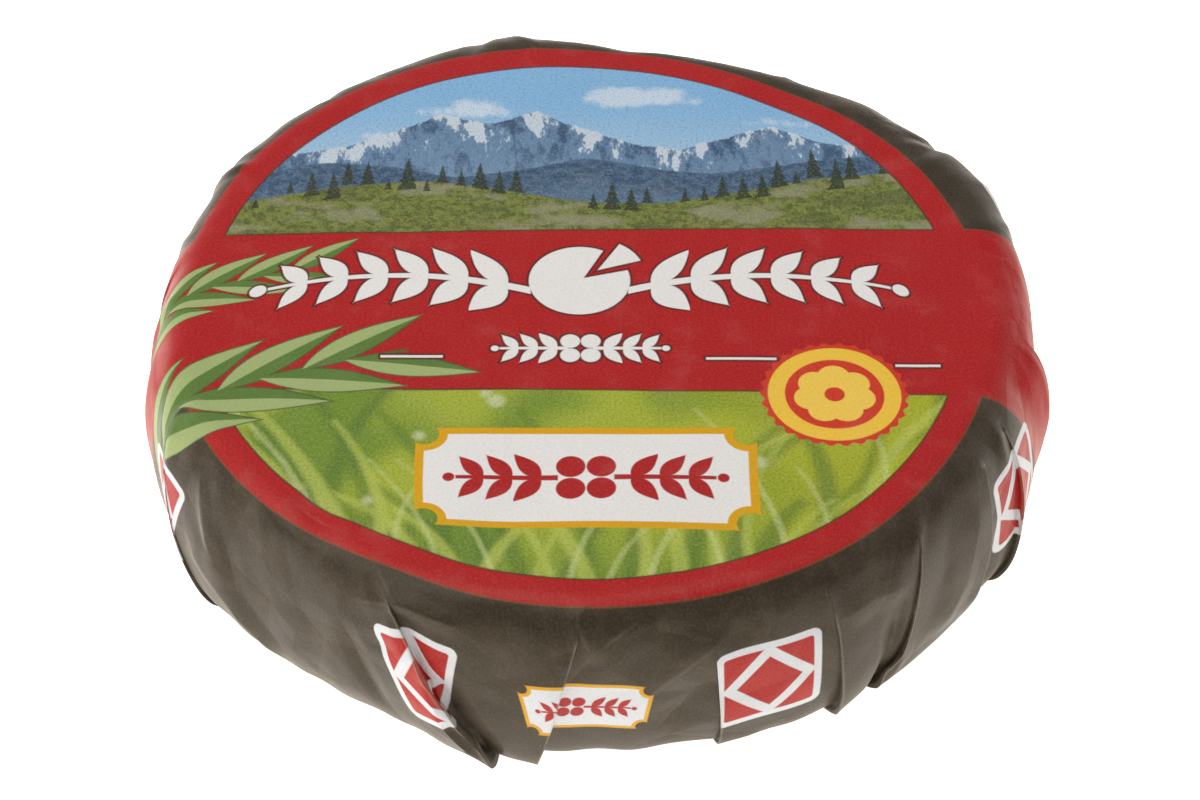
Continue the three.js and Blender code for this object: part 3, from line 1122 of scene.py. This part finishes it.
def printed_colour(p, cloud, fibre):
    """All inks of the sheet, one over the other, from its flat colour to its labels. Also
    gives where the band runs over the rim."""
    x, y = p.x, p.y
    reach = length_of(x, y)
    ring = lowest(RING_RADIUS - reach, reach - RING_INNER_RADIUS)
    above, below = y - x * BAND_TOP[1] - BAND_TOP[0], x * BAND_BOTTOM[1] + BAND_BOTTOM[0] - y
    band = lowest(-above, -below)
    red_area = highest(ring, band)
    inside = RING_INNER_RADIUS - reach
    picture_area = highest(lowest(inside, above), lowest(inside, below))
    pictures = p.ink(picture_colour(p), field_colour(p), BAND_BOTTOM[0] - y)
    pictures = p.tints(pictures, ((28, 34, 38), fibre, 0.52, 0.2, 0.2),
                       ((236, 236, 226), fibre, 0.5, 0.85, 0.11))

    along, aside = p.field("spray_along"), p.field("spray_aside")
    leaves, stem, across = leafy_stem(along, aside, pitch=13.0, count=4.0, size=(25.0, 2.9),
                                      lean=20, thickness=0.8, overlapping=True)
    spray = highest(leaves, stem)
    shape, label, border = ornaments(x, y)
    white_shapes = highest(shape, rules(x, y))
    from_seal = length_of(x - SEAL_CENTRE[0], y - SEAL_CENTRE[1])
    teeth = ((y - SEAL_CENTRE[1]).join("ARCTAN2", x - SEAL_CENTRE[0]) * SEAL_TEETH).cosine() * 0.28
    white_patch, red_patch = round_patch(x, y)
    # Over the rim the white is painted cooler, to cancel the warm light of the floor and sheen on the
    # side.
    side_white = p.tint(WHITE_INK, (224, 226, 230), reach, RING_RADIUS, RING_RADIUS + 8)

    colour = p.tint((57, 48, 37), (65, 55, 43), cloud, 0.35, 0.65)
    for ink, inked, *strength in (
        # The red ring and band with their brown edge, and the pictures with their outline
        ((120, 66, 40), red_area + 0.28),
        ((178, 21, 28), red_area),
        (pictures, picture_area),
        ((78, 40, 30), 0.16 - abs(picture_area), 0.8),
        # The leafy sprays, with one half of each leaf lighter and a thin outline
        ((92, 124, 56), spray),
        ((164, 180, 118), lowest(leaves, across + 0.15)),
        ((60, 72, 36), 0.14 - abs(spray), 0.7),
        # The white ornaments and rules with their dark edge
        ((88, 26, 22), lowest(white_shapes + 0.4, band), 0.9),
        (side_white, lowest(white_shapes, band)),
        # The seal, from its teeth to its middle
        ((208, 58, 34), SEAL_RADIUS + teeth - from_seal),
        ((244, 198, 68), SEAL_RADIUS - 0.9 - from_seal),
        (SEAL_RED, SEAL_RADIUS - 3.4 - from_seal),
        ((246, 204, 86), flower(x, y, SEAL_CENTRE, size=6.0, petals=7)),
        (SEAL_RED, 1.5 - from_seal),
        # The patches round the side, and the labels with their gold border and red ornament
        (side_white, white_patch),
        ((178, 14, 18), red_patch),
        ((222, 164, 16), border),
        (side_white, label),
        ((176, 28, 32), lowest(shape, label)),
    ):
        colour = p.ink(colour, ink, inked, *strength)
    return colour, lowest(band, reach - RING_RADIUS)


def crinkles(p):
    """Height in millimetres of the small flat facets of handled paper, on the side of the
    wheel and hardly at all on its flat top."""
    height = 0.0
    for grain, slope, shift in ((13, 0.06, 3.0), (6.5, 0.03, 8.0)):
        facets = p.texture("ShaderNodeTexVoronoi", grain, shift, shift,
                           voronoi_dimensions="2D", feature="DISTANCE_TO_EDGE")
        height = p.value(p.put(facets, Randomness=1.0), "Distance") * (grain * slope) + height
    handled = p.ramp(p.noise(30, 1, 0.5), 0.35, 0.6, 0.35, 1.0)
    return height * handled * p.ramp(length_of(p.x, p.y), RING_INNER_RADIUS, RING_RADIUS + 4, 0.04, 1.0)


def printed_paper():
    """Satin paper: inks, fibre grain, and lines painted lighter along creases and laps, partly worn paper
    and partly a painted highlight.
    """
    p = Paper("printed_paper")
    fibre = p.noise(0.42, 2, 0.65)
    cloud = p.noise(7, 3, 0.6)
    colour, band_over_rim = printed_colour(p, cloud, fibre)
    colour = p.tints(colour, ((214, 198, 180), fibre, 0.42, 0.7, 0.03),
                     ((34, 27, 22), fibre, 0.56, 0.28, 0.09), ((204, 190, 172), cloud, 0.52, 0.8, 0.04))
    # Lighter lines along creases and lap edges: partly worn paper, partly a painted highlight.
    crease_worn_and_lit = p.ramp(abs(p.field("crease_side")), 0.1, 0.5, 1.0, 0.0) * p.field("crease_near") * 0.15
    lap_worn_and_lit = p.ramp(p.field("lap_edge_worn_and_lit"), 0.4, 0.9, 0.0, 0.55)
    for worn_and_lit in (crease_worn_and_lit, lap_worn_and_lit):
        colour = p.blend(colour, WORN_AND_LIT_PAPER, worn_and_lit * cloud)

    grain, creasing = p.new("ShaderNodeBump"), p.new("ShaderNodeBump")
    p.put(creasing, Distance=MM, Height=crinkles(p))
    p.put(grain, Strength=0.3, Distance=0.10 * MM, Height=fibre, Normal=creasing.outputs["Normal"])
    shader = p.new("ShaderNodeBsdfPrincipled")
    p.put(shader, Base_Color=colour, Roughness=p.ramp(cloud, 0.35, 0.7, 0.42, 0.52), IOR=1.5)
    p.put(shader, Specular_IOR_Level=p.ramp(band_over_rim, 0, 7, GLOSS, BAND_RIM_GLOSS))
    p.put(shader, Specular_Tint=WARM_SHINE, Sheen_Tint=WARM_SHINE, Sheen_Weight=SHEEN)
    p.put(shader, Sheen_Roughness=0.32, Normal=grain.outputs["Normal"])
    p.put(p.new("ShaderNodeOutputMaterial"), Surface=shader.outputs["BSDF"])
    return p.material


def add_object(name, data):
    thing = bpy.data.objects.new(name, data)
    bpy.context.collection.objects.link(thing)
    return thing


def wrap_paper():
    mesh, middle = paper_mesh()
    mesh.materials.append(printed_paper())
    paper = add_object("paper_wrap", mesh)
    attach(paper, "root")
    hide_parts("wrapped_cheese")
    return middle


# Floor, light and camera

def add_floor():
    half = FLOOR_HALF_SIZE
    corners = [(-half, -half, 0), (half, -half, 0), (half, half, 0), (-half, half, 0)]
    mesh = bpy.data.meshes.new("floor")
    mesh.from_pydata(corners, [], [(0, 1, 2, 3)])
    material = bpy.data.materials.new("floor")
    material.use_nodes = True
    inputs = material.node_tree.nodes["Principled BSDF"].inputs
    inputs["Base Color"].default_value = srgb(242, 242, 241)
    inputs["Roughness"].default_value = 0.8
    inputs["Emission Color"].default_value = FLOOR_TINT
    inputs["Emission Strength"].default_value = FLOOR_GLOW
    mesh.materials.append(material)
    floor = add_object("floor", mesh)


def add_light():
    world = bpy.data.worlds.new("studio")
    world.use_nodes = True
    background = world.node_tree.nodes["Background"]
    background.inputs["Color"].default_value = (1, 1, 1, 1)
    background.inputs["Strength"].default_value = 0.02
    bpy.context.scene.world = world
    for name, place, size, power in LIGHTS:
        light = bpy.data.lights.new(name, "AREA")
        light.shape = "RECTANGLE"
        light.size, light.size_y = size
        light.energy = power
        lamp = add_object(name, light)
        lamp.location = place
        lamp.rotation_euler = (-Vector(place)).to_track_quat("-Z", "Y").to_euler()


def add_camera(middle):
    elevation = math.radians(CAMERA_ELEVATION)
    target = Vector((CAMERA_TARGET[0] - middle[0], CAMERA_TARGET[1] - middle[1], CAMERA_TARGET[2])) * MM
    back = Vector((0, -math.cos(elevation), math.sin(elevation)))
    camera = add_object("camera", bpy.data.cameras.new("camera"))
    camera.data.sensor_width = 36
    camera.data.lens = CAMERA_LENS
    camera.data.clip_start, camera.data.clip_end = 0.01, 20
    camera.location = target + back * CAMERA_DISTANCE * MM
    camera.rotation_euler = back.to_track_quat("Z", "Y").to_euler()
    bpy.context.scene.camera = camera


bpy.context.scene.view_settings.view_transform = "Standard"
add_camera(wrap_paper())
add_floor()
add_light()
